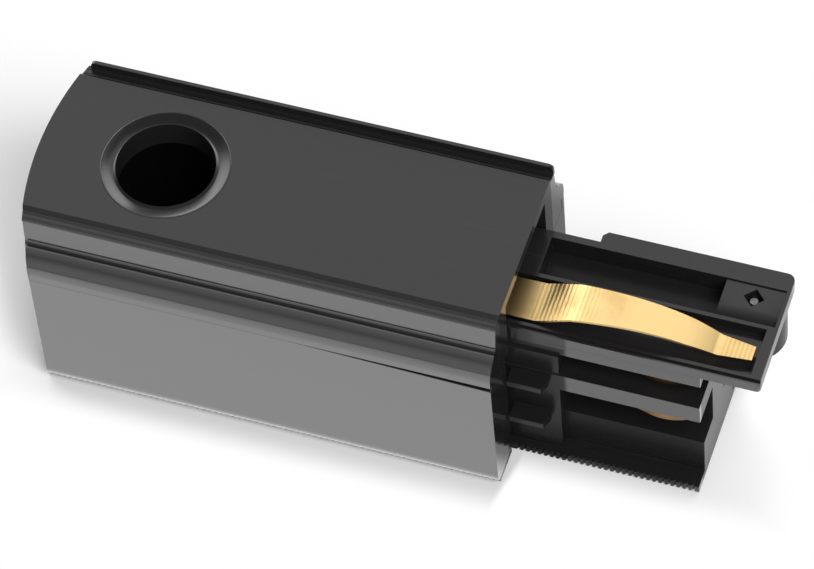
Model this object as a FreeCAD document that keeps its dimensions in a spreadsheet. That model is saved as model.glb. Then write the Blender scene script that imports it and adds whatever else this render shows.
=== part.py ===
import FreeCAD, Part
import Sketcher
import math
import os
import re

# Live-end feed for three-circuit lighting track: a housing in two mouldings with a cable entry in its top
# face, and a tongue that plugs into the end of the track.
# X runs from the rounded end of the housing to the tip of the tongue, Y across, Z up. Sizes along X are
# measured from the rounded end or from the face that meets the track. The origin is in the middle of the
# overall box, on the surface that the feed rests on. "Near" is the side of negative Y, "far" the other.

SIZES = [
    # housing outline
    ("housing_length", 80.0, "housing from its rounded end to the face that meets the track"),
    ("housing_half", 19.5, "half width of the housing at the parting line"),
    ("housing_height", 40.0, "top face above the surface"),
    ("parting_height", 28.6, "joint between base and cover"),
    ("end_radius", 56.0, "radius of the rounded end, seen from above"),
    ("wall", 2.0, "wall of both mouldings"),
    ("end_wall", 1.8, "wall at the face that meets the track"),
    ("overcut", 1.0, "how far a cutting outline reaches past the surface that it opens"),
    # section of the base
    ("top_half", 13.3, "half width of the top face"),
    ("step_run", 0.65, "width of the bevel beside the top face"),
    ("step_drop", 0.65, "depth of that bevel"),
    ("lip_half", 15.7, "half width over the two lips"),
    ("lip_edge", 0.5, "height of the lip's outer edge"),
    ("rim_rise", 1.1, "height of the far rim above the top face"),
    ("rim_width", 0.6, "thickness of the far rim"),
    ("rim_round", 0.9, "radius of the far rim's upper corners"),
    ("channel_half", 15.4, "half width between the two side channels"),
    ("channel_draft", 0.6, "how much wider that is at the foot of the channels"),
    ("channel_floor", 5.9, "depth of the channel floor below the top face"),
    ("channel_fillet", 0.6, "radius at the foot of the channel"),
    ("ledge_half", 16.9, "half width at the fine step on the ledge"),
    ("ledge_step", 0.35, "height of the fine step on the ledge"),
    ("shoulder_half", 17.4, "half width where the shoulder starts to curve"),
    ("shoulder_radius", 3.9, "radius of the shoulder"),
    ("shoulder_flat", 1.2, "straight side of the base above the parting line"),
    ("skirt_inset", 1.5, "how far the base's end wall stays inside the cover"),
    ("skirt_drop", 2.4, "how far the base's end wall reaches below the parting line"),
    # cable entry
    ("entry_place", 20.8, "cable entry from the rounded end"),
    ("entry_radius", 8.0, "radius of the cable entry"),
    ("bead_sink", 0.1, "top of the bead round the entry, below the top face"),
    ("bead_radius", 8.4, "outer radius of that bead"),
    ("dish_radius", 10.1, "radius of the shallow dish round the bead"),
    ("dish_depth", 0.45, "depth of the dish at the bead"),
    ("sleeve_wall", 1.6, "wall of the sleeve under the entry"),
    ("sleeve_drop", 3.0, "length of the sleeve under the top wall"),
    # cover
    ("cover_taper", 0.35, "how much the cover narrows on each side"),
    ("cover_floor", 2.0, "thickness of the cover's floor"),
    ("corner_rise", 3.5, "height at which the cover's lower corners start"),
    ("corner_radius", 4.7, "radius of the cover's lower corners"),
    ("plinth_half", 18.0, "half width over the serrated bottom edges"),
    ("plinth_inset", 0.3, "step between the lower corners and the serrated edges"),
    ("plinth_height", 0.8, "height of the serrated bottom edges"),
    ("tooth_pitch", 1.0, "pitch of the serrations"),
    ("tooth_gap", 0.6, "width of each notch"),
    ("tooth_depth", 0.45, "depth of each notch"),
    ("pry_gap", 1.0, "gap between cover and base at the track end, near side"),
    ("pry_length", 33.0, "length over which that gap closes"),
    ("seam_clearance", 0.25, "gap between pieces that meet without touching"),
    ("neck_clearance", 0.3, "gap between the carrier and the openings of the housing"),
    # tongue
    ("tongue_length", 40.5, "tongue from the housing to its tip"),
    ("body_reach", 30.9, "slotted body from the housing to its end"),
    ("neck_length", 8.0, "solid neck between the housing and the slots"),
    ("neck_half", 10.0, "half width of the neck and of the middle shelf"),
    ("foot_half", 11.4, "half width over the serrated foot"),
    ("foot_height", 1.5, "thickness of the foot"),
    ("block_half", 8.0, "half width of the lower block"),
    ("block_top", 9.4, "top of the lower block"),
    ("web_half", 3.0, "half width of the web between the slots"),
    ("shelf_low", 18.0, "underside of the middle shelf"),
    ("shelf_high", 22.3, "top of the middle shelf"),
    ("shelf_step", 0.9, "height of the step along the shelf's upper edges"),
    ("shelf_inset", 0.2, "width of that step"),
    ("deck_low", 27.1, "underside of the deck over the upper slots"),
    ("deck_top", 29.7, "top of the deck, on which the cap lies"),
    ("ledge_reach", 13.0, "half width over the neck ledges"),
    ("ledge_length", 6.6, "length of the neck ledges"),
    ("ledge_chamfer", 1.7, "chamfer of the ledges' corners, across"),
    ("ledge_chamfer_run", 0.7, "chamfer of the ledges' corners, along"),
    ("ledge_thick", 1.3, "thickness of the neck ledges"),
    ("upper_ledge", 20.3, "underside of the upper ledges"),
    ("lower_ledge", 10.4, "underside of the lower ledges"),
    # cap of the tongue
    ("cap_top", 32.2, "top of the cap"),
    ("cap_half", 9.5, "half width of the cap"),
    ("cap_back", 12.0, "cap behind the face that meets the track"),
    ("ear_half", 11.6, "half width at the cap's ear"),
    ("ear_start", 9.2, "ear from the housing"),
    ("ear_chamfer", 0.8, "chamfer at the start of the ear"),
    ("ear_round", 1.4, "radius at the end of the ear"),
    ("tip_round", 0.6, "radius at the cap's other front corner"),
    ("recess_start", 1.6, "recess from the housing"),
    ("recess_end", 30.2, "end of the recess from the housing"),
    ("recess_far", 8.3, "far side of the recess"),
    ("recess_near", 1.2, "near side of the recess, at the ridge"),
    ("recess_sink", 1.5, "depth of the recess below the deck's top"),
    ("ridge_width", 0.7, "ridge between the recess and the spring channel"),
    ("pad_sink", 0.3, "depth of the socket's pad below the cap's top"),
    ("pad_slope", 2.2, "width of the pad's slope beside the ridge"),
    ("pad_slope_drop", 0.8, "depth of that slope"),
    ("pad_border", 0.6, "border between the pad and the cap's tip"),
    ("spring_side", 8.3, "near side of the spring channel"),
    ("spring_floor", 30.4, "floor of the spring channel"),
    ("spring_end", 38.8, "end of the spring channel from the housing"),
    ("channel_back", 1.5, "start of the spring channel behind the housing's face"),
    ("rim_step", 0.5, "depth of the step along the cap's near edge"),
    ("rim_step_width", 0.6, "width of that step"),
    # socket and pin
    ("socket_place", 35.2, "diamond socket from the housing"),
    ("socket_side", 5.9, "diamond socket from the middle"),
    ("socket_half", 1.7, "half diagonal of the diamond"),
    ("socket_depth", 1.7, "depth of the diamond below the cap's top"),
    ("boss_radius", 5.25, "radius of the boss under the socket"),
    ("boss_drop", 7.4, "length of the boss"),
    ("boss_floor", 0.8, "floor of the boss under the pin"),
    ("pin_radius", 1.15, "radius of the locking pin"),
    ("pin_rise", 0.5, "how far the pin stands in the diamond"),
    ("pin_bevel", 0.5, "bevel round the pin's tip"),
    ("pin_clearance", 0.05, "gap round pins and screw shanks"),
    # rear of the carrier
    ("rear_length", 34.0, "carrier behind the housing's face"),
    ("tier_back", 24.0, "step of the carrier behind the housing's face"),
    ("tier_low", 19.2, "underside of the rear step"),
    ("rear_low", 8.0, "underside of the carrier in front of the step"),
    # side contacts
    ("leaf_thick", 0.5, "thickness of the side contacts"),
    ("leaf_height", 3.4, "height of the side contacts"),
    ("leaf_line", 5.0, "straight stretch of the side contacts from the middle"),
    ("leaf_bend", 12.0, "where the side contacts leave that line, from the housing"),
    ("crown_place", 24.0, "crowns from the housing"),
    ("crown_side", 7.5, "crowns from the middle"),
    ("crown_half", 3.0, "half length of a crown"),
    ("crown_drop", 0.5, "height of a crown's arc"),
    ("tip_place", 29.0, "tips from the housing"),
    ("tip_side", 6.2, "tips from the middle"),
    ("upper_leaf", 23.0, "underside of the upper contacts"),
    ("lower_leaf", 13.2, "underside of the lower contacts"),
    ("leaf_play", 0.1, "gap between a contact and the wall of its terminal"),
    ("tunnel_side", 0.7, "room beside the contacts in their tunnels"),
    ("tunnel_headroom", 0.3, "room above and below the contacts"),
    # terminals
    ("upper_back", 28.0, "upper terminals behind the housing's face"),
    ("lower_back", 20.0, "lower terminals behind the housing's face"),
    ("earth_back", 16.0, "earth terminal behind the housing's face"),
    ("terminal_length", 7.0, "length of a terminal block"),
    ("terminal_width", 6.0, "width of a terminal block"),
    ("terminal_floor", 2.6, "metal under the wire hole, threaded for the screw"),
    ("terminal_roof", 1.0, "metal over the wire hole"),
    ("wire_hole", 4.4, "height and width of the wire hole"),
    ("pocket_clearance", 0.1, "gap round a terminal block in its pocket"),
    ("terminal_shank", 1.5, "shank radius of a terminal screw"),
    ("terminal_head", 2.1, "head radius of a terminal screw"),
    ("terminal_reach", 1.2, "shank of a terminal screw below its block"),
    ("terminal_bite", 0.6, "how far a terminal screw stands in the wire hole"),
    ("driver_clearance", 0.3, "gap round a screw head in its hole"),
    ("head_height", 1.6, "height of a cheese head"),
    ("slot_width", 0.7, "width of a screwdriver slot"),
    ("slot_depth", 0.8, "depth of a screwdriver slot"),
    # strain relief
    ("clamp_place", 37.0, "strain relief from the rounded end"),
    ("clamp_side", 9.6, "clamp screws from the middle"),
    ("clamp_width", 7.0, "width of the clamp bar along the cable"),
    ("clamp_half", 13.0, "half length of the clamp bar"),
    ("clamp_thick", 2.4, "thickness of the clamp bar"),
    ("clamp_low", 20.0, "underside of the clamp bar"),
    ("saddle_radius", 7.0, "radius of the clamp's saddle"),
    ("saddle_depth", 1.2, "depth of the clamp's saddle"),
    ("clamp_boss", 3.1, "half width of the square clamp bosses"),
    ("clamp_rib", 2.0, "thickness of the rib between the clamp bosses"),
    ("clamp_rib_low", 30.6, "lower edge of that rib beside the bosses"),
    ("clamp_rib_radius", 11.0, "radius of the rib's hollow for the cable"),
    ("clamp_shank", 1.4, "shank radius of a clamp screw"),
    ("clamp_head", 2.7, "head radius of a clamp screw"),
    ("clamp_screw_length", 12.0, "shank length of a clamp screw"),
    # carrier and cover screws
    ("carrier_screw_back", 6.0, "carrier screws behind the housing's face"),
    ("carrier_screw_side", 10.0, "carrier screws from the middle"),
    ("carrier_boss", 3.0, "half width of the square bosses that take the carrier screws"),
    ("carrier_shank", 1.4, "shank radius of a carrier screw"),
    ("carrier_head", 2.4, "head radius of a carrier screw"),
    ("carrier_grip", 4.0, "carrier material over a carrier screw's head"),
    ("carrier_bite", 4.6, "how far a carrier screw reaches into its boss"),
    ("cover_screw_back", 9.0, "cover screw behind the housing's face"),
    ("cover_shank", 1.5, "shank radius of the cover screw"),
    ("cover_head", 2.9, "head radius of the countersunk cover screw"),
    ("cover_sink", 0.3, "depth of the cover screw's head in the bottom"),
    ("cover_screw_length", 14.0, "length of the cover screw"),
    ("cover_boss", 3.6, "radius of the boss that takes the cover screw"),
    # earth spring
    ("earth_line", 4.3, "middle of the earth spring, near side"),
    ("earth_half", 3.65, "half width of the earth spring at its root"),
    ("earth_thick", 0.45, "thickness of the spring"),
    ("earth_tail_back", 18.0, "tail of the spring behind the housing's face"),
    ("earth_rise", 3.8, "start of the ramp from the housing"),
    ("earth_arch", 9.5, "start of the arch from the housing"),
    ("earth_arch_rise", 2.2, "height of the ramp"),
    ("earth_crown", 18.0, "crown of the arch from the housing"),
    ("earth_crown_rise", 2.85, "height of the crown over the tail"),
    ("earth_bend", 32.6, "bend between the arch and the flat tip, from the housing"),
    ("earth_bend_drop", 0.25, "how far that bend lies below the tail"),
    ("earth_tip", 38.1, "tip of the spring from the housing"),
    ("earth_tip_drop", 0.55, "how far the tip lies below the tail"),
    ("earth_taper", 6.0, "start of the taper from the housing"),
    ("earth_waist", 28.0, "where the taper grows steeper, from the housing"),
    ("earth_waist_half", 2.5, "half width of the spring there"),
    ("earth_tip_half", 1.3, "half width of the spring's tip"),
    ("nick_place", 36.1, "nick in the tip's near edge, from the housing"),
    ("nick_width", 0.4, "width of the nick"),
    ("nick_side", 1.15, "inner end of the nick from the middle of the spring"),
]

PLAN = "XY_Plane"
SIDE = "XZ_Plane"
SECTION = "YZ_Plane"
MIDDLE = "((housing_length + tongue_length) / 2)"
INNER_TOP = "(housing_height - wall)"
CAVITY_HALF = "(housing_half - wall)"
UPPER_HALF = "(channel_half - wall)"
CARRIER_HALF = "(channel_half - wall - neck_clearance)"
CARRIER_FRONT = "(housing_length - end_wall - neck_clearance)"
TERMINAL_SIDE = "(leaf_line - leaf_thick / 2 - leaf_play + wire_hole / 2)"
TERMINAL_HEIGHT = "(terminal_floor + wire_hole + terminal_roof)"
NEAR = -1
FAR = 1

doc = FreeCAD.newDocument("track_end_feed")
sheet = doc.addObject("Spreadsheet::Sheet", "dims")
for row, (alias, amount, remark) in enumerate(SIZES, start=1):
    sheet.set(f"A{row}", remark)
    sheet.set(f"B{row}", str(amount))
    sheet.setAlias(f"B{row}", alias)
doc.recompute()

NAMES = {entry[0] for entry in SIZES}
subparts = []


def bound(text):
    """Formula for setExpression, with each size name turned into its cell."""
    return re.sub(r"[a-z_]+", lambda found: f"dims.{found[0]}" if found[0] in NAMES else found[0], text)


def size(text):
    """What a formula comes to now, in millimetres."""
    return float(sheet.evalExpression(bound(text)))


def setback(half):
    """How far the rounded end lies behind its apex at a half width."""
    return f"(end_radius - sqrt(end_radius ^ 2 - ({half}) ^ 2))"


def new_body(label):
    body = doc.addObject("PartDesign::Body", label)
    body.Label = label
    body.setExpression("Placement.Base.x", bound(f"-{MIDDLE}"))
    subparts.append(body)
    return body


def new_sketch(body, name, plane, level="0", shift="0"):
    """Sketch on an origin plane, moved by level along its normal and by shift along its own X."""
    sketch = body.newObject("Sketcher::SketchObject", f"{body.Name}_{name}_sketch")
    base = next(entry for entry in body.Origin.OriginFeatures if entry.Role == plane)
    sketch.AttachmentSupport = [(base, "")]
    sketch.MapMode = "FlatFace"
    sketch.setExpression("AttachmentOffset.Base.z", bound(level))
    sketch.setExpression("AttachmentOffset.Base.x", bound(shift))
    return sketch


def pin(sketch, index, spot, across, up):
    """Tie one point of a sketch's geometry to two formulas."""
    for kind, text in (("DistanceX", across), ("DistanceY", up)):
        number = sketch.addConstraint(Sketcher.Constraint(kind, -1, 1, index, spot, size(text)))
        sketch.setExpression(f"Constraints[{number}]", bound(text))


def bind_radius(sketch, index, text):
    number = sketch.addConstraint(Sketcher.Constraint("Radius", index, size(text)))
    sketch.setExpression(f"Constraints[{number}]", bound(text))


def outline(sketch, corners):
    """Closed outline of (across, up) corners. A corner with a radius and a side starts an arc.

    The arc bulges to the left (1) or to the right (-1) of the way to the next corner.
    """
    spots = [FreeCAD.Vector(size(corner[0]), size(corner[1]), 0) for corner in corners]
    first = sketch.GeometryCount
    starts = []
    for number, corner in enumerate(corners):
        start = spots[number]
        end = spots[(number + 1) % len(corners)]
        if len(corner) == 2:
            sketch.addGeometry(Part.LineSegment(start, end))
            starts.append(1)
            continue
        chord = end - start
        radius = size(corner[2])
        bulge = radius - math.sqrt(radius ** 2 - (chord.Length / 2) ** 2)
        across = FreeCAD.Vector(-chord.y, chord.x, 0).normalize() * corner[3]
        index = sketch.addGeometry(Part.Arc(start, (start + end) / 2 + across * bulge, end))
        # the sketcher stores every arc anticlockwise, so the outline may enter it at its second point
        enters_first = sketch.getPoint(index, 1).distanceToPoint(start) < chord.Length / 2
        starts.append(1 if enters_first else 2)
    for number, corner in enumerate(corners):
        index = first + number
        following = (number + 1) % len(corners)
        joint = (index, 3 - starts[number], first + following, starts[following])
        sketch.addConstraint(Sketcher.Constraint("Coincident", *joint))
        pin(sketch, index, starts[number], corner[0], corner[1])
        if len(corner) > 2:
            bind_radius(sketch, index, corner[2])


def rectangle(sketch, left, right, low, high):
    outline(sketch, [(left, low), (right, low), (right, high), (left, high)])


def circle(sketch, across, up, radius):
    centre = FreeCAD.Vector(size(across), size(up), 0)
    index = sketch.addGeometry(Part.Circle(centre, FreeCAD.Vector(0, 0, 1), size(radius)))
    pin(sketch, index, 3, across, up)
    bind_radius(sketch, index, radius)


def pad(body, name, sketch, length):
    """Material from the sketch along its normal."""
    feature = body.newObject("PartDesign::Pad", f"{body.Name}_{name}")
    feature.Profile = sketch
    feature.setExpression("Length", bound(length))
    return feature


def check_cut(feature):
    doc.recompute()
    if feature.Shape.Volume >= feature.BaseFeature.Shape.Volume:
        raise RuntimeError(f"{feature.Name} cuts nothing")


def cut(body, name, sketch, length):
    """Cut from the sketch along its normal."""
    feature = body.newObject("PartDesign::Pocket", f"{body.Name}_{name}")
    feature.Profile = sketch
    feature.Reversed = True
    feature.setExpression("Length", bound(length))
    check_cut(feature)
    return feature


def revolve(body, kind, name, sketch):
    """Turn a sketch round its own vertical axis, as a Revolution or a Groove."""
    feature = body.newObject(f"PartDesign::{kind}", f"{body.Name}_{name}")
    feature.Profile = sketch
    feature.ReferenceAxis = (sketch, ["V_Axis"])
    if kind == "Groove":
        check_cut(feature)
    return feature


def box(body, name, along, across, up, operation=pad, both_sides=False):
    """Straight block between formulas for X, Y and Z, added or cut, alone or as a mirrored pair."""
    sketch = new_sketch(body, name, PLAN, up[0])
    rectangle(sketch, along[0], along[1], across[0], across[1])
    if both_sides:
        rectangle(sketch, along[0], along[1], f"-({across[1]})", f"-({across[0]})")
    return operation(body, name, sketch, f"({up[1]}) - ({up[0]})")


def full_width(half):
    return (f"-({half})", half)


def square_pair(body, name, along, across, half, up, operation=pad):
    """Two square bosses or pockets, one on each side of the middle."""
    along_span = (f"{along} - ({half})", f"{along} + {half}")
    across_span = (f"{across} - ({half})", f"{across} + {half}")
    return box(body, name, along_span, across_span, up, operation, both_sides=True)


def post(body, name, spots, radius, up, operation=pad):
    """Upright cylinders or bores of one radius between two heights."""
    sketch = new_sketch(body, name, PLAN, up[0])
    for along, across in spots:
        circle(sketch, along, across, radius)
    return operation(body, name, sketch, f"({up[1]}) - ({up[0]})")


def serrate(body, name, start, end, half, height):
    """Vee notches at one pitch along both long edges of a plinth."""
    sketch = new_sketch(body, name, PLAN)
    for side in (NEAR, FAR):
        outline(sketch, [
            (start, f"{side} * ({half} + overcut)"),
            (start, f"{side} * {half}"),
            (f"{start} + tooth_gap / 2", f"{side} * ({half} - tooth_depth)"),
            (f"{start} + tooth_gap", f"{side} * {half}"),
            (f"{start} + tooth_gap", f"{side} * ({half} + overcut)"),
        ])
    first = cut(body, name, sketch, height)
    row = body.newObject("PartDesign::LinearPattern", f"{body.Name}_{name}_row")
    row.Originals = [first]
    row.Direction = (sketch, ["H_Axis"])
    steps = f"floor(({end} - {start} - tooth_gap) / tooth_pitch)"
    row.setExpression("Length", bound(f"tooth_pitch * {steps}"))
    row.setExpression("Occurrences", bound(f"{steps} + 1"))
    body.Tip = row
    doc.recompute()


def end_block(body, name, half, low, high):
    """Wall behind the rounded end, with its inner face concentric to the outer one."""
    sketch = new_sketch(body, name, PLAN, low)
    reach = f"(end_radius - sqrt((end_radius - wall) ^ 2 - ({half}) ^ 2))"
    outline(sketch, [
        (reach, half),
        ("0", half),
        ("0", f"-({half})"),
        (reach, f"-({half})", "end_radius - wall", 1),
    ])
    pad(body, name, sketch, f"({high}) - ({low})")


def round_end(body, low, high):
    """Trim a moulding to the rounded end, an arc seen from above."""
    sketch = new_sketch(body, "end", PLAN, low)
    half = "(housing_half + overcut)"
    outline(sketch, [
        (setback(half), f"-{half}", "end_radius", 1),
        (setback(half), half),
        ("-overcut", half),
        ("-overcut", f"-{half}"),
    ])
    cut(body, "end", sketch, f"({high}) - ({low})")


def make_base():
    body = new_body("housing_base")
    ledge = "(housing_height - channel_floor)"
    wall_foot = "(channel_half + channel_draft)"
    lip = "(housing_height - step_drop)"
    flat_top = "(parting_height + shoulder_flat)"
    shoulder_top = (
        f"({flat_top} + sqrt(shoulder_radius ^ 2 - (shoulder_half - housing_half + shoulder_radius) ^ 2))"
    )
    rising = [
        ("housing_half", "parting_height"),
        ("housing_half", flat_top, "shoulder_radius", -1),
        ("shoulder_half", shoulder_top),
        ("ledge_half", f"{ledge} - ledge_step"),
        ("ledge_half", ledge),
        (f"{wall_foot} + channel_fillet", ledge, "channel_fillet", 1),
        (wall_foot, f"{ledge} + channel_fillet"),
        ("channel_half", f"{lip} - lip_edge"),
        ("lip_half", f"{lip} - lip_edge"),
        ("lip_half", lip),
        ("top_half + step_run", lip),
        ("top_half", "housing_height"),
    ]
    # the near half repeats the far one backwards, so an arc starts at its other end there
    falling = []
    for number in range(len(rising) - 1, -1, -1):
        arc = rising[number - 1][2:] if number else ()
        falling.append((f"-({rising[number][0]})", rising[number][1], *arc))
    sketch = new_sketch(body, "shell", SECTION)
    outline(sketch, rising + falling)
    pad(body, "shell", sketch, "housing_length")

    sketch = new_sketch(body, "cavity", SECTION)
    inner_side = "(housing_half - shoulder_radius)"
    inner_shoulder = f"({flat_top} + shoulder_radius - wall)"
    inner = [
        (CAVITY_HALF, "parting_height"),
        (CAVITY_HALF, flat_top, "shoulder_radius - wall", -1),
        (inner_side, inner_shoulder),
        (UPPER_HALF, inner_shoulder),
        (UPPER_HALF, INNER_TOP),
        (f"-{UPPER_HALF}", INNER_TOP),
        (f"-{UPPER_HALF}", inner_shoulder),
        (f"-{inner_side}", inner_shoulder, "shoulder_radius - wall", -1),
        (f"-{CAVITY_HALF}", flat_top),
        (f"-{CAVITY_HALF}", "parting_height"),
    ]
    outline(sketch, inner)
    cut(body, "cavity", sketch, "housing_length - end_wall")
    end_block(body, "end_low", CAVITY_HALF, "parting_height", inner_shoulder)
    end_block(body, "end_high", UPPER_HALF, "parting_height", INNER_TOP)

    end_face = ("housing_length - end_wall", "housing_length")
    skirt = ("parting_height - skirt_drop", flat_top)
    box(body, "skirt", end_face, full_width("housing_half - skirt_inset"), skirt)
    mouth = ("parting_height - skirt_drop - overcut", INNER_TOP)
    through = ("housing_length - end_wall - overcut", "housing_length + overcut")
    box(body, "mouth", through, full_width("neck_half + neck_clearance"), mouth, cut)

    # a rim stands on the far lip only
    sketch = new_sketch(body, "rim", SIDE, "-lip_half")
    start = f"({setback('lip_half')} + rim_width)"
    rim_top = "(housing_height + rim_rise)"
    outline(sketch, [
        (start, f"{lip} - lip_edge"),
        (start, f"{rim_top} - rim_round", "rim_round", 1),
        (f"{start} + rim_round", rim_top),
        ("housing_length - rim_round", rim_top, "rim_round", 1),
        ("housing_length", f"{rim_top} - rim_round"),
        ("housing_length", f"{lip} - lip_edge"),
    ])
    pad(body, "rim", sketch, "rim_width")

    sleeve = [("entry_place", "0")]
    post(body, "sleeve", sleeve, "entry_radius + sleeve_wall", (f"{INNER_TOP} - sleeve_drop", INNER_TOP))
    clamp_spots = [("clamp_place", "-clamp_side"), ("clamp_place", "clamp_side")]
    clamp_top = "(clamp_low + clamp_thick)"
    square_pair(body, "clamp_bosses", "clamp_place", "clamp_side", "clamp_boss", (clamp_top, INNER_TOP))
    sketch = new_sketch(body, "clamp_rib", SECTION, "clamp_place - clamp_rib / 2")
    outline(sketch, [
        ("clamp_side", INNER_TOP),
        ("-clamp_side", INNER_TOP),
        ("-clamp_side", "clamp_rib_low", "clamp_rib_radius", 1),
        ("clamp_side", "clamp_rib_low"),
    ])
    pad(body, "clamp_rib", sketch, "clamp_rib")
    carrier_along = "housing_length - carrier_screw_back"
    carrier_spots = [(carrier_along, "-carrier_screw_side"), (carrier_along, "carrier_screw_side")]
    boss_up = ("cap_top", INNER_TOP)
    square_pair(body, "carrier_bosses", carrier_along, "carrier_screw_side", "carrier_boss", boss_up)
    round_end(body, "parting_height - overcut", f"{rim_top} + overcut")

    clamp_depth = "clamp_low + clamp_screw_length + pin_clearance"
    post(body, "clamp_bores", clamp_spots, "clamp_shank + pin_clearance", (clamp_top, clamp_depth), cut)
    carrier_depth = "cap_top + carrier_bite + pin_clearance"
    post(body, "carrier_bores", carrier_spots, "carrier_shank + pin_clearance", ("cap_top", carrier_depth), cut)
    sketch = new_sketch(body, "entry", SIDE, shift="entry_place")
    outline(sketch, [
        ("0", f"{INNER_TOP} - sleeve_drop - overcut"),
        ("entry_radius", f"{INNER_TOP} - sleeve_drop - overcut"),
        ("entry_radius", "housing_height - bead_sink"),
        ("bead_radius", "housing_height - dish_depth"),
        ("dish_radius", "housing_height"),
        ("0", "housing_height"),
    ])
    revolve(body, "Groove", "entry", sketch)


def make_cover():
    body = new_body("housing_cover")
    corner_half = "(plinth_half + plinth_inset)"
    side_half = "(housing_half - cover_taper)"
    sketch = new_sketch(body, "shell", SECTION)
    outline(sketch, [
        ("-plinth_half", "0"),
        ("plinth_half", "0"),
        ("plinth_half", "plinth_height"),
        (corner_half, "plinth_height", "corner_radius", -1),
        (side_half, "corner_rise"),
        ("housing_half", "parting_height"),
        ("-housing_half", "parting_height"),
        (f"-{side_half}", "corner_rise", "corner_radius", -1),
        (f"-{corner_half}", "plinth_height"),
        ("-plinth_half", "plinth_height"),
    ])
    pad(body, "shell", sketch, "housing_length")
    inside = ("0", "housing_length - end_wall")
    box(body, "cavity", inside, full_width(CAVITY_HALF), ("cover_floor", "parting_height"), cut)
    end_block(body, "end_wall", CAVITY_HALF, "0", "parting_height")
    round_end(body, "-overcut", "parting_height + overcut")

    end_face = ("housing_length - end_wall - seam_clearance", "housing_length")
    skirt_half = "housing_half - skirt_inset + seam_clearance"
    skirt = ("parting_height - skirt_drop - seam_clearance", "parting_height")
    box(body, "skirt_seat", end_face, full_width(skirt_half), skirt, cut)
    mouth_along = (f"{CARRIER_FRONT} - seam_clearance", "housing_length")
    mouth = full_width("foot_half + neck_clearance + seam_clearance")
    box(body, "mouth", mouth_along, mouth, ("0", "parting_height"), cut)

    sketch = new_sketch(body, "pry_gap", SIDE, f"{CAVITY_HALF} - seam_clearance")
    outline(sketch, [
        ("housing_length - pry_length", "parting_height"),
        ("housing_length", "parting_height - pry_gap"),
        ("housing_length", "parting_height"),
    ])
    cut(body, "pry_gap", sketch, "wall + overcut")

    sketch = new_sketch(body, "screw_seat", SIDE, shift="housing_length - cover_screw_back")
    outline(sketch, [
        ("0", "0"),
        ("cover_head + pin_clearance", "0"),
        ("cover_head + pin_clearance", "cover_sink"),
        ("cover_shank + pin_clearance", "cover_sink + cover_head - cover_shank"),
        ("cover_shank + pin_clearance", "cover_floor"),
        ("0", "cover_floor"),
    ])
    revolve(body, "Groove", "screw_seat", sketch)
    serrate(body, "teeth", setback("plinth_half"), "housing_length", "plinth_half", "plinth_height")


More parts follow.
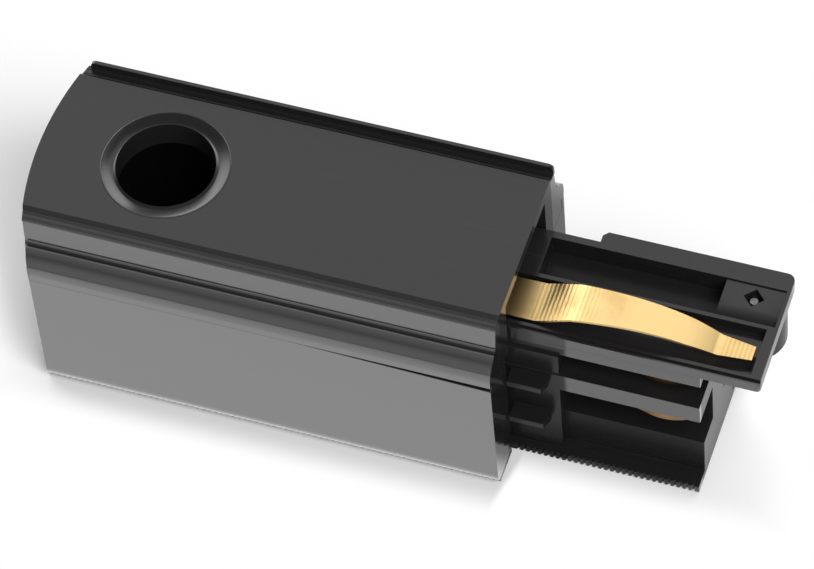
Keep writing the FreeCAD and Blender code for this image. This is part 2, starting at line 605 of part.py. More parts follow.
def make_carrier_body():
    body = new_body("carrier_body")
    sketch = new_sketch(body, "slots", SECTION, CARRIER_FRONT)
    right = [
        ("block_half", "0"),
        ("block_half", "block_top"),
        ("web_half", "block_top"),
        ("web_half", "shelf_low"),
        ("neck_half", "shelf_low"),
        ("neck_half", "shelf_high - shelf_step"),
        ("neck_half - shelf_inset", "shelf_high - shelf_step"),
        ("neck_half - shelf_inset", "shelf_high"),
        ("web_half", "shelf_high"),
        ("web_half", "deck_low"),
        ("cap_half", "deck_low"),
        ("cap_half", "deck_top"),
    ]
    outline(sketch, right + [(f"-{half}", up) for half, up in reversed(right)])
    pad(body, "slots", sketch, "body_reach + end_wall + neck_clearance")
    neck = (CARRIER_FRONT, "housing_length + neck_length")
    box(body, "neck", neck, full_width("neck_half"), ("0", "deck_low"))
    foot = ("housing_length - end_wall", "housing_length + body_reach")
    box(body, "foot", foot, full_width("foot_half"), ("0", "foot_height"))
    for name in ("upper_ledge", "lower_ledge"):
        sketch = new_sketch(body, name, PLAN, name)
        root = "housing_length + seam_clearance"
        bend = "housing_length + ledge_length - ledge_chamfer_run"
        front = "housing_length + ledge_length"
        outline(sketch, [
            (root, "-ledge_reach"),
            (bend, "-ledge_reach"),
            (front, "-(ledge_reach - ledge_chamfer)"),
            (front, "ledge_reach - ledge_chamfer"),
            (bend, "ledge_reach"),
            (root, "ledge_reach"),
        ])
        pad(body, name, sketch, "ledge_thick")

    rear = "housing_length - rear_length"
    tier = "housing_length - tier_back"
    box(body, "rear_tier", (rear, tier), full_width(CARRIER_HALF), ("tier_low", "deck_top"))
    box(body, "front_tier", (tier, CARRIER_FRONT), full_width(CARRIER_HALF), ("rear_low", "deck_top"))
    cover_screw = [("housing_length - cover_screw_back", "0")]
    post(body, "cover_boss", cover_screw, "cover_boss", ("cover_floor + seam_clearance", "rear_low"))
    bore = ("cover_floor + seam_clearance", "cover_sink + cover_screw_length + pin_clearance")
    post(body, "cover_bore", cover_screw, "cover_shank + pin_clearance", bore, cut)

    pocket_side = (
        f"{TERMINAL_SIDE} - terminal_width / 2 - pocket_clearance",
        f"{TERMINAL_SIDE} + terminal_width / 2 + pocket_clearance",
    )
    tunnel_side = (
        "leaf_line - leaf_thick / 2 - tunnel_side",
        "leaf_line + leaf_thick / 2 + tunnel_side",
    )
    levels = (("upper", rear, "tier_low"), ("lower", tier, "rear_low"))
    for level, back, low in levels:
        place = f"housing_length - {level}_back"
        pocket_along = (back, f"{place} + terminal_length / 2 + pocket_clearance")
        roof = f"{terminal_low(level)} + {TERMINAL_HEIGHT} + pocket_clearance"
        box(body, f"{level}_pockets", pocket_along, pocket_side, (low, roof), cut, both_sides=True)
        tunnel_up = (f"{level}_leaf - tunnel_headroom", f"{level}_leaf + leaf_height + tunnel_headroom")
        tunnel_along = (place, "housing_length + neck_length")
        box(body, f"{level}_tunnels", tunnel_along, tunnel_side, tunnel_up, cut, both_sides=True)

    earth = "housing_length - earth_back"
    earth_along = (rear, f"{earth} + terminal_length / 2 + pocket_clearance")
    earth_low = f"{terminal_low('earth')} - pocket_clearance"
    box(body, "earth_pocket", earth_along, full_width("terminal_width / 2 + pocket_clearance"),
        (earth_low, "deck_top"), cut)
    driver = "terminal_head + driver_clearance"
    post(body, "earth_driver_hole", [(earth, "0")], driver, ("rear_low", earth_low), cut)
    screw_along = "housing_length - carrier_screw_back"
    spots = [(screw_along, "-carrier_screw_side"), (screw_along, "carrier_screw_side")]
    seat = "deck_top - carrier_grip"
    head_room = "carrier_head + driver_clearance"
    square_pair(body, "screw_heads", screw_along, "carrier_screw_side", head_room, ("rear_low", seat), cut)
    post(body, "screw_bores", spots, "carrier_shank + pin_clearance", (seat, "deck_top"), cut)

    recess = ("housing_length + recess_start", "housing_length + recess_end")
    box(body, "recess", recess, ("recess_near", "recess_far"), ("deck_top - recess_sink", "deck_top"), cut)
    serrate(body, "teeth", "(housing_length + tooth_gap)", "(housing_length + body_reach)",
            "foot_half", "foot_height")


def make_carrier_cap():
    body = new_body("carrier_cap")
    rear = "housing_length - cap_back"
    tip = "housing_length + tongue_length"
    ear = "housing_length + ear_start"
    sketch = new_sketch(body, "plate", PLAN, "deck_top")
    outline(sketch, [
        (rear, f"-{CARRIER_HALF}"),
        (CARRIER_FRONT, f"-{CARRIER_HALF}"),
        (CARRIER_FRONT, "-cap_half"),
        (f"{tip} - tip_round", "-cap_half", "tip_round", -1),
        (tip, "-cap_half + tip_round"),
        (tip, "ear_half - ear_round", "ear_round", -1),
        (f"{tip} - ear_round", "ear_half"),
        (f"{ear} + ear_chamfer", "ear_half"),
        (ear, "ear_half - ear_chamfer"),
        (ear, "cap_half"),
        (CARRIER_FRONT, "cap_half"),
        (CARRIER_FRONT, CARRIER_HALF),
        (rear, CARRIER_HALF),
    ])
    pad(body, "plate", sketch, "cap_top - deck_top")
    socket = [("housing_length + socket_place", "socket_side")]
    boss_low = "deck_top - boss_drop"
    post(body, "boss", socket, "boss_radius", (boss_low, "deck_top"))
    beside = ("housing_length + ear_start", "housing_length + body_reach + seam_clearance")
    box(body, "boss_flat", beside, ("0", "socket_side + boss_radius"), (boss_low, "deck_top"), cut)

    window = ("housing_length + recess_start", "housing_length + recess_end")
    box(body, "window", window, ("recess_near", "recess_far"), ("deck_top", "cap_top"), cut)
    channel = ("housing_length - channel_back", "housing_length + spring_end")
    channel_side = ("-spring_side", "recess_near - ridge_width")
    box(body, "spring_channel", channel, channel_side, ("spring_floor", "cap_top"), cut)
    step_along = ("housing_length", "housing_length + tongue_length")
    step_side = ("-cap_half", "-cap_half + rim_step_width")
    box(body, "near_step", step_along, step_side, ("cap_top - rim_step", "cap_top"), cut)
    sketch = new_sketch(body, "pad", SECTION, "housing_length + recess_end")
    pad_level = "cap_top - pad_sink"
    outline(sketch, [
        ("recess_near", "cap_top"),
        ("recess_near", f"{pad_level} - pad_slope_drop"),
        ("recess_near + pad_slope", pad_level),
        ("recess_far", pad_level),
        ("recess_far", "cap_top"),
    ])
    cut(body, "pad", sketch, "tongue_length - recess_end - pad_border")

    along, across = socket[0]
    sketch = new_sketch(body, "diamond", PLAN, "cap_top - socket_depth")
    outline(sketch, [
        (f"{along} - socket_half", across),
        (along, f"{across} - socket_half"),
        (f"{along} + socket_half", across),
        (along, f"{across} + socket_half"),
    ])
    cut(body, "diamond", sketch, "socket_depth")
    pin_bore = (f"{boss_low} + boss_floor", "cap_top - socket_depth")
    post(body, "pin_bore", socket, "pin_radius + pin_clearance", pin_bore, cut)
    screw_along = "housing_length - carrier_screw_back"
    spots = [(screw_along, "-carrier_screw_side"), (screw_along, "carrier_screw_side")]
    post(body, "screw_bores", spots, "carrier_shank + pin_clearance", ("deck_top", "cap_top"), cut)


def make_locking_pin():
    body = new_body("locking_pin")
    sketch = new_sketch(body, "turned", SIDE, "-socket_side", "housing_length + socket_place")
    low = "deck_top - boss_drop + boss_floor"
    top = "cap_top - socket_depth + pin_rise"
    outline(sketch, [
        ("0", low),
        ("pin_radius", low),
        ("pin_radius", f"{top} - pin_bevel"),
        ("pin_radius - pin_bevel", top),
        ("0", top),
    ])
    revolve(body, "Revolution", "turned", sketch)


def make_earth_spring():
    body = new_body("earth_spring")
    face = "housing_length"
    tail = "cap_top"
    arch = f"({tail} + earth_arch_rise)"
    crown = f"({tail} + earth_crown_rise)"
    bend = f"({tail} - earth_bend_drop)"
    tip = f"({tail} - earth_tip_drop)"
    rear_radius = arc_radius("(earth_crown - earth_arch)", "(earth_crown_rise - earth_arch_rise)")
    front_radius = arc_radius("(earth_bend - earth_crown)", "(earth_crown_rise + earth_bend_drop)")
    underside = [
        (f"{face} - earth_tail_back", tail),
        (f"{face} + earth_rise", tail),
        (f"{face} + earth_arch", arch, rear_radius, 1),
        (f"{face} + earth_crown", crown, front_radius, 1),
        (f"{face} + earth_bend", bend),
        (f"{face} + earth_tip", tip),
    ]
    upper = [
        (f"{face} + earth_tip", f"{tip} + earth_thick"),
        (f"{face} + earth_bend", f"{bend} + earth_thick", front_radius, -1),
        (f"{face} + earth_crown", f"{crown} + earth_thick", rear_radius, -1),
        (f"{face} + earth_arch", f"{arch} + earth_thick"),
        (f"{face} + earth_rise", f"{tail} + earth_thick"),
        (f"{face} - earth_tail_back", f"{tail} + earth_thick"),
    ]
    sketch = new_sketch(body, "leaf", SIDE, "earth_line - earth_half")
    outline(sketch, underside + upper)
    pad(body, "leaf", sketch, "earth_half * 2")
    tab = (f"{face} - earth_tail_back", f"{face} - earth_back + terminal_length / 2")
    box(body, "tab", tab, ("-earth_line", "terminal_width / 2"), (tail, f"{tail} + earth_thick"))
    # inside the housing the tail is cut back beside the near carrier boss
    boss_along = (f"{face} - earth_tail_back", f"{face} - carrier_screw_back + carrier_boss + seam_clearance")
    boss_side = ("-(earth_line + earth_half)", "-(carrier_screw_side - carrier_boss - seam_clearance)")
    box(body, "boss_relief", boss_along, boss_side, (tail, f"{tail} + earth_thick"), cut)
    sketch = new_sketch(body, "taper", PLAN, f"{tip} - overcut")
    for side in (NEAR, FAR):
        outline(sketch, [
            (f"{face} + earth_taper", f"{side} * earth_half - earth_line"),
            (f"{face} + earth_waist", f"{side} * earth_waist_half - earth_line"),
            (f"{face} + earth_tip", f"{side} * earth_tip_half - earth_line"),
            (f"{face} + earth_tip + overcut", f"{side} * earth_tip_half - earth_line"),
            (f"{face} + earth_tip + overcut", f"{side} * (earth_half + overcut) - earth_line"),
            (f"{face} + earth_taper", f"{side} * (earth_half + overcut) - earth_line"),
        ])
    cut(body, "taper", sketch, "earth_tip_drop + earth_crown_rise + 2 * overcut")
    nick_along = (f"{face} + nick_place - nick_width / 2", f"{face} + nick_place + nick_width / 2")
    nick_side = ("-(earth_line + earth_half)", "-(earth_line + nick_side)")
    box(body, "nick", nick_along, nick_side, (tip, tail), cut)


def arc_radius(run, rise):
    """Radius of an arc that is level at one end and rises by so much over its run."""
    return f"(({run} ^ 2 + {rise} ^ 2) / (2 * {rise}))"


def terminal_low(level):
    """Underside of a terminal block, which holds its contact in the middle of its wire hole."""
    if level == "earth":
        return f"(cap_top - {TERMINAL_HEIGHT})"
    return f"({level}_leaf + leaf_height / 2 - wire_hole / 2 - terminal_floor)"


def make_contact(label, side, level):
    """Side contact: a straight strip from its terminal that bows out into the slot."""
    body = new_body(label)
    face = "housing_length"
    line = [
        (f"{face} - {level}_back - terminal_length / 2", "leaf_line"),
        (f"{face} + leaf_bend", "leaf_line"),
        (f"{face} + crown_place - crown_half", "(crown_side - crown_drop)", "crown"),
        (f"{face} + crown_place + crown_half", "(crown_side - crown_drop)"),
        (f"{face} + tip_place", "tip_side"),
    ]
    crown_radius = arc_radius("crown_half", "crown_drop")
    inner = []
    outer = []
    for number, corner in enumerate(line):
        starts_arc = (crown_radius, side) if len(corner) > 2 else ()
        ends_arc = (crown_radius, -side) if number and len(line[number - 1]) > 2 else ()
        inner.append((corner[0], f"{side} * ({corner[1]} - leaf_thick / 2)", *starts_arc))
        outer.append((corner[0], f"{side} * ({corner[1]} + leaf_thick / 2)", *ends_arc))
    sketch = new_sketch(body, "strip", PLAN, f"{level}_leaf")
    outline(sketch, inner + outer[::-1])
    pad(body, "strip", sketch, "leaf_height")


def make_terminal(label, side, level):
    body = new_body(label)
    place = f"housing_length - {level}_back"
    across = f"{side} * {TERMINAL_SIDE}"
    low = terminal_low(level)
    along = (f"{place} - terminal_length / 2", f"{place} + terminal_length / 2")
    span = (f"{across} - terminal_width / 2", f"{across} + terminal_width / 2")
    box(body, "block", along, span, (low, f"{low} + {TERMINAL_HEIGHT}"))
    hole = (f"{low} + terminal_floor", f"{low} + terminal_floor + wire_hole")
    box(body, "wire_hole", along, (f"{across} - wire_hole / 2", f"{across} + wire_hole / 2"), hole, cut)
    post(body, "thread", [(place, across)], "terminal_shank + pin_clearance", (low, hole[0]), cut)


def make_screw(label, place, shank, head, low, shank_length, head_height="head_height"):
    """Slotted screw that is driven from below. Its head is straight, or tapers over a given height."""
    body = new_body(label)
    along, across = place
    sketch = new_sketch(body, "turned", SIDE, f"-({across})", along)
    taper = [] if head_height != "head_height" else [(head, f"{low} + {head_height}")]
    outline(sketch, [("0", low), (head, low), *taper, (shank, f"{low} + {head_height}")] + [
        (shank, f"{low} + {head_height} + {shank_length}"),
        ("0", f"{low} + {head_height} + {shank_length}"),
    ])
    revolve(body, "Revolution", "turned", sketch)
    box(body, "slot", (f"{along} - {head}", f"{along} + {head}"),
        (f"{across} - slot_width / 2", f"{across} + slot_width / 2"), (low, f"{low} + slot_depth"), cut)


def make_clamp():
    """Strain relief bar, with rounded ends and a saddle for the cable."""
    body = new_body("cable_clamp")
    top = "(clamp_low + clamp_thick)"
    sketch = new_sketch(body, "bar", PLAN, "clamp_low")
    ends = "(clamp_half - clamp_width / 2)"
    outline(sketch, [
        ("clamp_place + clamp_width / 2", f"-{ends}"),
        ("clamp_place + clamp_width / 2", ends, "clamp_width / 2 + pin_clearance", -1),
        ("clamp_place - clamp_width / 2", ends),
        ("clamp_place - clamp_width / 2", f"-{ends}", "clamp_width / 2 + pin_clearance", -1),
    ])
    pad(body, "bar", sketch, "clamp_thick")
    sketch = new_sketch(body, "saddle", SECTION, "clamp_place - clamp_width / 2")
    circle(sketch, "0", f"{top} + saddle_radius - saddle_depth", "saddle_radius")
    cut(body, "saddle", sketch, "clamp_width")
    spots = [("clamp_place", "-clamp_side"), ("clamp_place", "clamp_side")]
    post(body, "bores", spots, "clamp_shank + pin_clearance", ("clamp_low", top), cut)


make_base()
make_cover()
make_carrier_body()
make_carrier_cap()
make_locking_pin()
make_earth_spring()
for side_name, side in (("near", NEAR), ("far", FAR)):
    for level in ("upper", "lower"):
        make_contact(f"contact_{side_name}_{level}", side, level)
terminals = [("earth", 0, "earth")]
for side_name, side in (("near", NEAR), ("far", FAR)):
    for level in ("upper", "lower"):
        terminals.append((f"{side_name}_{level}", side, level))
for name, side, level in terminals:
    make_terminal(f"terminal_{name}", side, level)
    make_screw(
        f"terminal_screw_{name}", (f"housing_length - {level}_back", f"{side} * {TERMINAL_SIDE}"),
        "terminal_shank", "terminal_head", f"{terminal_low(level)} - terminal_reach - head_height",
        "(terminal_reach + terminal_floor + terminal_bite)",
    )
make_clamp()
for side_name, side in (("near", NEAR), ("far", FAR)):
    make_screw(
        f"clamp_screw_{side_name}", ("clamp_place", f"{side} * clamp_side"),
        "clamp_shank", "clamp_head", "clamp_low - head_height", "clamp_screw_length",
    )
    make_screw(
        f"carrier_screw_{side_name}", ("housing_length - carrier_screw_back", f"{side} * carrier_screw_side"),
        "carrier_shank", "carrier_head", "deck_top - carrier_grip - head_height",
        "(carrier_grip + cap_top - deck_top + carrier_bite)",
    )
make_screw(
    "cover_screw", ("housing_length - cover_screw_back", "0"), "cover_shank", "cover_head", "cover_sink",
    "(cover_screw_length - cover_head + cover_shank)", "(cover_head - cover_shank)",
)
doc.recompute()

for item in doc.Objects:
    if "Invalid" in item.State or "Error" in item.State:
        raise RuntimeError(f"{item.Name} failed: {item.State}")
for body in subparts:
    if body.Shape.isNull() or not body.Shape.isValid() or len(body.Shape.Solids) != 1:
        raise RuntimeError(f"{body.Label} isn't one valid solid")

os.makedirs("parts", exist_ok=True)
overall = FreeCAD.BoundBox()
for body in subparts:
    body.Shape.exportStep(f"parts/{body.Label}.step")
    overall.add(body.Shape.BoundBox)
print(len(subparts), "sub-parts, overall", overall)
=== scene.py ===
import math

import bpy
import mathutils
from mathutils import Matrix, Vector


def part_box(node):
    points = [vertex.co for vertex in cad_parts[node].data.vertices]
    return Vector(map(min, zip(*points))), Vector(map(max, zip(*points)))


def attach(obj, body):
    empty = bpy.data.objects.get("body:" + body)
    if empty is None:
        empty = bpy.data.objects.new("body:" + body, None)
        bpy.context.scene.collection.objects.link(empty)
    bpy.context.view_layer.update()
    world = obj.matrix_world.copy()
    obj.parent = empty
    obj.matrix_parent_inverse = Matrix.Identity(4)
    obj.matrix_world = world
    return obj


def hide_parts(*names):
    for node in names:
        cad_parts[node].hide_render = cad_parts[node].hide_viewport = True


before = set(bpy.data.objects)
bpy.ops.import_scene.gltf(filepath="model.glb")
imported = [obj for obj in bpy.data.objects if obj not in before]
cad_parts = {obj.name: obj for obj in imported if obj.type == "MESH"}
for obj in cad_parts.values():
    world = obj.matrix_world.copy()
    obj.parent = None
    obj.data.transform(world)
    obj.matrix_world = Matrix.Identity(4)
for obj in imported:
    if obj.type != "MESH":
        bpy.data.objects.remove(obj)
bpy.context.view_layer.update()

bpy.ops.object.select_all(action="DESELECT")
scene = bpy.context.scene
scene.view_settings.view_transform = "Standard"

# Camera: a long lens from the near side, above the tongue's end, looking down at 55 degrees.
# Its place and turn are those of the photograph, worked out from the housing's straight edges.
camera_place = (0.19485, -0.4709, 0.7492)
camera_turn = (34.91, 3.22, 17.93)
bpy.ops.object.camera_add(location=camera_place, rotation=[math.radians(angle) for angle in camera_turn])
camera = bpy.context.object
camera.name = "photo_camera"
camera.data.lens = 247.8
camera.data.sensor_width = 36.0
camera.data.clip_start = 0.1
camera.data.clip_end = 20.0
scene.camera = camera

# Housing: two injected mouldings in glossy black plastic, a base and a cover that one screw holds on from
# below. Their faces have the faint ripple that the mould leaves, hairline scuffs along the length from
# handling, and a little dust.


class Field:
    """A value that changes over a surface. Each operator adds the Math node that works it out."""

    def __init__(self, finish, socket):
        self.finish = finish
        self.socket = socket

    def join(self, operation, first, second=0.0):
        """The result of a Math node."""
        return self.finish.node("ShaderNodeMath", {"operation": operation}, {0: first, 1: second})

    def __add__(self, other):
        return self.join("ADD", self, other)

    __radd__ = __add__

    def __sub__(self, other):
        return self.join("SUBTRACT", self, other)

    def __rsub__(self, other):
        return self.join("SUBTRACT", other, self)

    def __mul__(self, other):
        return self.join("MULTIPLY", self, other)

    __rmul__ = __mul__

    def __neg__(self):
        return 0.0 - self

    def __abs__(self):
        return self.join("ABSOLUTE", self)

    def power(self, exponent):
        return self.join("POWER", self, exponent)

    def sine(self):
        return self.join("SINE", self)

    def greatest(self, other):
        """The greater of the two values."""
        return self.join("MAXIMUM", self, other)

    def rise(self, start, end):
        """0 below start, 1 above end, and a smooth climb between them."""
        settings = {"interpolation_type": "SMOOTHSTEP"}
        inputs = {"Value": self, "From Min": start, "From Max": end}
        return self.finish.node("ShaderNodeMapRange", settings, inputs)

    def within(self, low, high, edge):
        """1 between low and high and 0 outside, with a smooth climb an edge's width each side of both."""
        return self.rise(low - edge, low + edge) * (1.0 - self.rise(high - edge, high + edge))


class Finish:
    """The nodes of a new material or world, with one call that makes any of them."""

    def __init__(self, name, owners=bpy.data.materials):
        self.owner = owners.new(name)
        self.owner.use_nodes = True
        self.tree = self.owner.node_tree
        self.tree.nodes.clear()

    def node(self, kind, settings=(), inputs=(), output=0):
        """A node with its settings and then its inputs, as the field of one of its outputs."""
        made = self.tree.nodes.new(kind)
        for key, value in dict(settings).items():
            setattr(made, key, value)
        for key, value in dict(inputs).items():
            if isinstance(value, Field):
                self.tree.links.new(value.socket, made.inputs[key])
            else:
                made.inputs[key].default_value = value
        return Field(self, made.outputs[output]) if made.outputs else None

    def parts(self, kind, *outputs, inputs=()):
        """Several outputs of one node."""
        made = self.node(kind, {}, inputs).socket.node
        return [Field(self, made.outputs[output]) for output in outputs]

    def place(self, stretch=(1.0, 1.0, 1.0)):
        """Object coordinates as one vector, times a stretch for each axis."""
        where = self.node("ShaderNodeTexCoord", output="Object")
        return self.node("ShaderNodeMapping", {}, {"Vector": where, "Scale": stretch})

    def axes(self, *names):
        """Object coordinates in metres by name: X along the object, Y across it, Z up."""
        return self.parts("ShaderNodeSeparateXYZ", *names, inputs={0: self.place()})

    def noise(self, scale, stretch=(1.0, 1.0, 1.0), detail=3.0, roughness=0.5):
        inputs = {"Vector": self.place(stretch), "Scale": scale, "Detail": detail, "Roughness": roughness}
        return self.node("ShaderNodeTexNoise", {}, inputs)

    def blend(self, amount, first, second):
        """Colour that goes from first to second as the amount rises from 0 to 1."""
        return self.node("ShaderNodeMix", {"data_type": "RGBA"}, {0: amount, 6: first, 7: second}, 2)

    def bump(self, height, distance):
        """Relief in which a height of 1 stands out by the distance."""
        return self.node("ShaderNodeBump", {}, {"Height": height, "Distance": distance})

    def shade(self, **inputs):
        """The material, with these inputs of its shader."""
        named = {key.replace("_", " "): value for key, value in inputs.items()}
        surface = self.node("ShaderNodeBsdfPrincipled", {}, named)
        self.node("ShaderNodeOutputMaterial", {}, {"Surface": surface})
        return self.owner


def dress(material, *names):
    """Gives the material to nodes that keep their own shape."""
    for name in names:
        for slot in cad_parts[name].material_slots:
            slot.material = material


same_point = 0.000001
flat_angle = math.radians(0.5)
edge_angle = math.radians(28.0)
crease_angle = math.radians(34.0)


def soften(name, body, material, radius, crisp=None):
    """Makes a piece with the node's shape and softly rounded edges, which takes the node's place.

    crisp tells for a point whether it lies on a shallow edge that is to stay sharp."""
    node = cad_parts[name]
    mesh = node.data.copy()
    mesh.transform(node.matrix_world)
    piece = bpy.data.objects.new(f"{name}_soft", mesh)
    scene.collection.objects.link(piece)
    bpy.ops.object.select_all(action="DESELECT")
    bpy.context.view_layer.objects.active = piece
    piece.select_set(True)
    bpy.ops.object.mode_set(mode="EDIT")
    bpy.ops.mesh.select_all(action="SELECT")
    bpy.ops.mesh.remove_doubles(threshold=same_point)
    bpy.ops.mesh.dissolve_limited(angle_limit=flat_angle)
    bpy.ops.object.mode_set(mode="OBJECT")
    bevel = piece.modifiers.new("rounding", "BEVEL")
    bevel.width = radius
    bevel.segments = 2
    bevel.limit_method = "ANGLE"
    bevel.angle_limit = edge_angle
    bpy.ops.object.modifier_apply(modifier=bevel.name)
    bpy.ops.object.shade_smooth_by_angle(angle=crease_angle)
    if crisp:
        for edge in mesh.edges:
            if all(crisp(mesh.vertices[end].co) for end in edge.vertices):
                edge.use_edge_sharp = True
    weighting = piece.modifiers.new("flat_faces", "WEIGHTED_NORMAL")
    weighting.mode = "FACE_AREA"
    weighting.weight = 100
    weighting.keep_sharp = True
    bpy.ops.object.modifier_apply(modifier=weighting.name)
    mesh.materials.clear()
    mesh.materials.append(material)
    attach(piece, body)
    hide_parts(name)


relief_step = 0.00002


def black_plastic(name, colour, worn_colour, roughness, polished, relief=None, **gloss):
    """Moulded black plastic. polished and relief are functions of the finish: how far the mould is polished to
    a gloss, and the relief in steps that comes on top of the mould's ripple."""
    finish = Finish(name)
    ripple = finish.noise(260.0, detail=2.0)
    grain = finish.noise(2600.0, detail=2.0)
    scuffs = finish.noise(700.0, stretch=(0.06, 1.0, 1.0), detail=4.0).rise(0.64, 0.8)
    dust = finish.noise(5200.0, detail=1.0).rise(0.7, 0.76)
    height = ripple * 0.6 + grain * 0.12
    if relief:
        height = height + relief(finish)
    return finish.shade(
        Base_Color=finish.blend(dust * 0.5 + scuffs * 0.15, colour, worn_colour),
        Roughness=roughness + scuffs * 0.05 + ripple * 0.04,
        Coat_Weight=polished(finish),
        Normal=finish.bump(height, relief_step),
        **gloss,
    )


side_start = (0.0134, 0.0137)
notch_top = 0.0013
top_face = 0.03895


def polished_sides(finish):
    """The long sides, but not the satin top face, the tops of the lips and the notched bottom edges."""
    across, up = finish.axes("Y", "Z")
    return abs(across).rise(*side_start) * up.within(notch_top, top_face, edge=0.00015)


lip_tops = (0.0391, 0.0396)
inner_ridge = (0.01415, 0.01440)
outer_ridge = (0.01505, 0.01530)
ridge_height = 3.0


def lip_ridges(finish):
    """Two fine ridges along each lip, which the mould's cutter left."""
    across, up = finish.axes("Y", "Z")
    side = abs(across)
    ridges = side.within(*inner_ridge, edge=0.00006) + side.within(*outer_ridge, edge=0.00006)
    return ridges * up.within(*lip_tops, edge=0.00005) * ridge_height


entry_along = -0.03945
bead_radius = 0.0084
dish_radius = 0.0101
hollow_end = dish_radius + 0.0004
burr = (dish_radius + 0.00005, dish_radius + 0.00025)
hollow_depth = 16.0
burr_height = 3.0


def entry_dish(finish):
    """The hollow of the dish round the cable entry, which is deepest at the bead, and the burr round its edge.
    It follows the distance from the entry's axis alone, at any height."""
    along, across = finish.axes("X", "Y")
    along = along - entry_along
    reach = (along * along + across * across).power(0.5)
    hollow = reach.rise(bead_radius, hollow_end) * hollow_depth
    return hollow + reach.within(*burr, edge=0.00006) * burr_height


def on_dish_edge(point):
    """Whether a point of the mesh lies on the dish's outer edge."""
    return abs(math.hypot(point.x - entry_along, point.y) - dish_radius) < 0.00002


tooth_pitch = 0.001
ramp_end = (0.0010, 0.0026)
ramp_height = 4.0


def notch_ramps(finish):
    """Ramps that run up out of the notches in the bottom edges."""
    along, up = finish.axes("X", "Z")
    return (along * (math.tau / tooth_pitch)).sine() * (1.0 - up.rise(*ramp_end)) * ramp_height


def housing_relief(finish):
    """All the fine relief that the mould's tools left in the housing."""
    return lip_ridges(finish) + entry_dish(finish) + notch_ramps(finish)


housing_colour = (0.016, 0.015, 0.016, 1.0)
housing_worn = (0.06, 0.058, 0.058, 1.0)
housing_plastic = black_plastic(
    "housing_plastic", housing_colour, housing_worn, roughness=0.2, polished=polished_sides,
    relief=housing_relief, IOR=1.5, Coat_Roughness=0.08, Coat_IOR=2.0,
)
soften("housing_base", "housing", housing_plastic, radius=0.00016, crisp=on_dish_edge)
soften("housing_cover", "cover", housing_plastic, radius=0.00012)

# Carrier: the tongue's body and its cap, in the same black plastic with a finer finish. The body is one
# moulding with the slots, screwed up into the housing's base, and the cap is a second one pressed on to it.
cap_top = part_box("carrier_cap")[1][2]
track_sides = (0.0090, 0.0094)
neck_end = (0.0283, 0.0293)
deck = (0.0285, 0.0290)
side_polish = 0.85
cap_polish = 0.33


def polished_edges(finish):
    """The sides of the cap and the shelves, which slide in the track, shine more than the cap's top. The neck
    and the block below are dull."""
    along, across, up = finish.axes("X", "Y", "Z")
    sides = abs(across).rise(*track_sides) * (1.0 - up.rise(cap_top - 0.0002, cap_top - 0.0001))
    return (sides * along.rise(*neck_end) * side_polish).greatest(up.rise(*deck) * cap_polish)


carrier_colour = (0.014, 0.013, 0.014, 1.0)
carrier_worn = (0.05, 0.048, 0.048, 1.0)
carrier_plastic = black_plastic(
    "carrier_plastic", carrier_colour, carrier_worn, roughness=0.24, polished=polished_edges,
    IOR=1.25, Coat_Roughness=0.12, Coat_IOR=1.8,
)
soften("carrier_body", "housing", carrier_plastic, radius=0.00012)
soften("carrier_cap", "housing", carrier_plastic, radius=0.00016)

# Strain relief: a bar with a saddle that two screws draw up against the cable's sheath. It is moulded in the
# carrier's plastic.
dress(carrier_plastic, "cable_clamp")

# Earth spring: a leaf of bright rolled brass, bent up out of the housing and arched over the cap.
# Rolling leaves fine lines along it, bending leaves ribs across its root, and handling leaves a light tarnish.
brass = (0.90, 0.645, 0.285, 1.0)
brass_dark = (0.66, 0.42, 0.16, 1.0)
root_bend = (0.0235, 0.0330)
tip_bend = (0.0530, 0.0580)
rib_radians = 9000.0     # for each metre along the leaf, so that the ribs are 0.7 mm apart
rib_waver = 2.5
rib_height = 0.00001

finish = Finish("spring_brass")
along = finish.axes("X")[0]
rolled = finish.noise(900.0, stretch=(0.03, 1.0, 1.0), detail=4.0)
tarnish = finish.noise(160.0, detail=4.0, roughness=0.6).rise(0.5, 0.75)
wave = (along * rib_radians + rolled * rib_waver).sine()
root = along.within(*root_bend, edge=0.0020)
tip = along.within(*tip_bend, edge=0.0004)
ribs = wave * (root + tip * 0.7)
spring_brass = finish.shade(
    Base_Color=finish.blend(tarnish * 0.5 + (wave + 1.0) * (tip * 0.3 + root * 0.1), brass, brass_dark),
    Metallic=1.0,
    Roughness=0.3 + tarnish * 0.06 + rolled * 0.06,
    Normal=finish.bump(rolled * 0.4 + ribs * 0.9, rib_height),
)
soften("earth_spring", "earth_contact", spring_brass, radius=0.00006)

# Side contacts: strips of copper alloy, stamped and bent so that they spring out of the slots. They are bare
# and dark brown, with a darker mottle, and their tails lie in tunnels of the carrier.
copper = (0.36, 0.23, 0.11, 1.0)
copper_brown = (0.26, 0.16, 0.08, 1.0)

finish = Finish("contact_copper")
mottle = finish.noise(900.0, detail=3.0)
contact_copper = finish.shade(
    Base_Color=finish.blend(mottle, copper, copper_brown),
    Metallic=1.0,
    Roughness=0.3 + mottle * 0.1,
)
sides = ("near", "far")
contacts = [f"{side}_{level}" for side in sides for level in ("upper", "lower")]
dress(contact_copper, *[f"contact_{contact}" for contact in contacts])

# Terminals: blocks cut from drawn brass, each with a hole for its wire and a screw that clamps it. They are
# pushed into pockets of the carrier, one for each contact and one for the earth.
block_brass = (0.70, 0.52, 0.24, 1.0)
block_brass_dark = (0.55, 0.38, 0.15, 1.0)

finish = Finish("terminal_brass")
drawn = finish.noise(1500.0, stretch=(0.05, 1.0, 1.0), detail=3.0)
terminal_brass = finish.shade(
    Base_Color=finish.blend(drawn, block_brass, block_brass_dark),
    Metallic=1.0,
    Roughness=0.3 + drawn * 0.15,
)
poles = [*contacts, "earth"]
dress(terminal_brass, *[f"terminal_{pole}" for pole in poles])

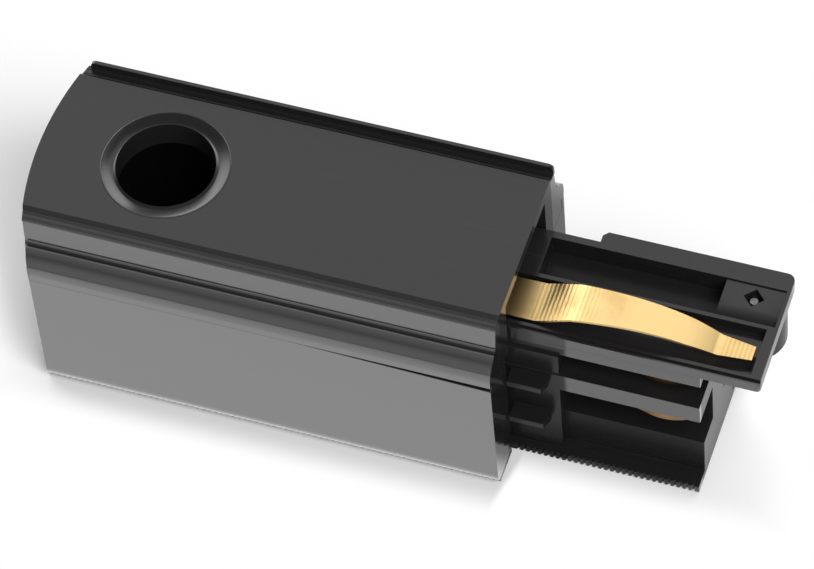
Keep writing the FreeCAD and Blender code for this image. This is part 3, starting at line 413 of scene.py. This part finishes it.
# Screws: slotted screws of steel with a dull zinc plating. They clamp the wires, draw up the strain relief,
# hold the carrier in the base, and close the cover.
zinc = (0.62, 0.62, 0.60, 1.0)
zinc_dull = (0.44, 0.44, 0.44, 1.0)

finish = Finish("screw_steel")
plating = finish.noise(1800.0, detail=3.0)
screw_steel = finish.shade(
    Base_Color=finish.blend(plating, zinc, zinc_dull),
    Metallic=1.0,
    Roughness=0.22 + plating * 0.2,
)
wire_screws = [f"terminal_screw_{pole}" for pole in poles]
side_screws = [f"{kind}_screw_{side}" for kind in ("clamp", "carrier") for side in sides]
dress(screw_steel, "cover_screw", *wire_screws, *side_screws)

# Locking pin: a turned steel pin that stands in the boss under the cap. Its bevelled end shows in the diamond
# socket.
pin_bright = (0.30, 0.30, 0.30, 1.0)
pin_dark = (0.12, 0.12, 0.12, 1.0)

finish = Finish("pin_steel")
turned = finish.noise(2200.0, detail=2.0)
pin_steel = finish.shade(
    Base_Color=finish.blend(turned, pin_bright, pin_dark),
    Metallic=1.0,
    Roughness=0.3 + turned * 0.2,
)
dress(pin_steel, "locking_pin")

# Floor: a sweep of white paper, just under the piece and seen only from above. To mirror reflections it glows
# with a painted pool of light round the piece and a painted shadow under the tongue. To the camera it glows an
# even white where it is clear of the piece. Elsewhere it is plain paper, which takes the soft shadow.
floor_size = 6.0
floor_place = (0.0, 0.0, -0.0001)
paper_white = (0.9, 0.9, 0.9, 1.0)
white = (1.0, 1.0, 1.0, 1.0)
housing_half = 0.0195
tongue_inset = 0.0085
end_along = 0.0605
end_lean = 0.5
# How much the painted pool of light in the floor's mirrored glow fades far from the piece, and how dark the
# painted shadow under the tongue is.
painted_light_falloff = 0.85
painted_shadow_strength = 0.75

bpy.ops.mesh.primitive_plane_add(size=floor_size, location=floor_place)
floor = bpy.context.object
floor.name = "floor"
finish = Finish("floor_white")
seen, mirrored = finish.parts("ShaderNodeLightPath", "Is Camera Ray", "Is Glossy Ray")
away = finish.node("ShaderNodeVectorMath", {"operation": "LENGTH"}, {0: finish.place()}, 1)
along, across = finish.axes("X", "Y")

# Each zone is given by where it begins and where it is complete, in metres from the middle of the piece. The
# floor that the piece mirrors is a painted pool of light that grows dimmer far away, with a painted shadow in
# the strip that lies under the tongue and behind it.
beyond_tip = along.rise(0.046, 0.054)
beside_tongue = (-across).rise(0.012, 0.018).greatest(across.rise(0.035, 0.050))
painted_tongue_shadow = along.rise(0.0185, 0.0195) * (1.0 - beyond_tip) * (1.0 - beside_tongue)
# near is the strength of the floor's glow to mirror rays: the painted pool of light, less the painted shadow
# under the tongue.
near = (1.0 - away.rise(0.05, 0.9) * painted_light_falloff) * (1.0 - painted_tongue_shadow * painted_shadow_strength)

foot = housing_half - along.rise(0.019, 0.022) * tongue_inset
in_front = (-across - foot).rise(-0.0005, 0.0055)
behind = across.rise(0.018, 0.050)
to_the_left = (-along - end_along - (across + housing_half) * end_lean).rise(0.0, 0.009)
to_the_right = along.rise(0.058, 0.068)
clear = in_front.greatest(to_the_left).greatest(to_the_right).greatest(behind)

paper = finish.node("ShaderNodeBsdfDiffuse", {}, {"Color": paper_white})
# The camera sees the glow at an even full strength. Mirror rays see it at near, the painted light and shadow.
brightness = seen + (1.0 - seen) * near
glow = finish.node("ShaderNodeEmission", {}, {"Color": white, "Strength": brightness})
sheet = finish.node("ShaderNodeMixShader", {}, {0: seen * clear + mirrored, 1: paper, 2: glow})
from_below = finish.node("ShaderNodeNewGeometry", output="Backfacing")
see_through = finish.node("ShaderNodeBsdfTransparent")
sheet = finish.node("ShaderNodeMixShader", {}, {0: from_below, 1: sheet, 2: see_through})
finish.node("ShaderNodeOutputMaterial", {}, {"Surface": sheet})
floor.data.materials.append(finish.owner)

# Light: a dim room with a bright wall behind the object, and one large soft lamp above it, in front and to the
# right. The wall is brightest low down, apart from a dark gap near its middle, and hardly lit at the right. The
# camera sees only white.
room_light = 0.1
wall_light = 1.1
low_light = 2.2
gap_loss = 2.8
right_loss = 0.95
front_light = 0.4
gap_aside = -0.25

finish = Finish("studio", bpy.data.worlds)
scene.world = finish.owner
direction = finish.node("ShaderNodeTexCoord", output="Generated")
aside, back, high = finish.parts("ShaderNodeSeparateXYZ", "X", "Y", "Z", inputs={0: direction})
seen = finish.node("ShaderNodeLightPath", output="Is Camera Ray")

# These begin and end at parts of the direction's unit vector.
wall = back.rise(0.05, 0.45)
front = (-back).rise(0.4, 0.9)
low = 1.0 - high.rise(0.45, 0.72)
gap = 1.0 - abs(aside - gap_aside).rise(0.05, 0.22)
right = aside.rise(0.34, 0.52) * (1.0 - back.rise(0.7, 0.9))
wall = wall * (wall_light + low * (low_light - gap * gap_loss)) * (1.0 - right * right_loss)
room = room_light + wall + front * front_light
level = finish.node("ShaderNodeMix", {"data_type": "FLOAT"}, {0: seen, 2: room, 3: 1.0})
background = finish.node("ShaderNodeBackground", {}, {"Color": white, "Strength": level})
finish.node("ShaderNodeOutputWorld", {}, {"Surface": background})

lamp_place = (0.5, -0.45, 0.8)
bpy.ops.object.light_add(type="AREA", location=lamp_place)
lamp = bpy.context.object
lamp.name = "soft_lamp"
lamp.data.shape = "DISK"
lamp.data.size = 0.7
lamp.data.energy = 9.0
lamp.visible_glossy = False
lamp.rotation_euler = mathutils.Vector(lamp_place).to_track_quat("Z", "Y").to_euler()
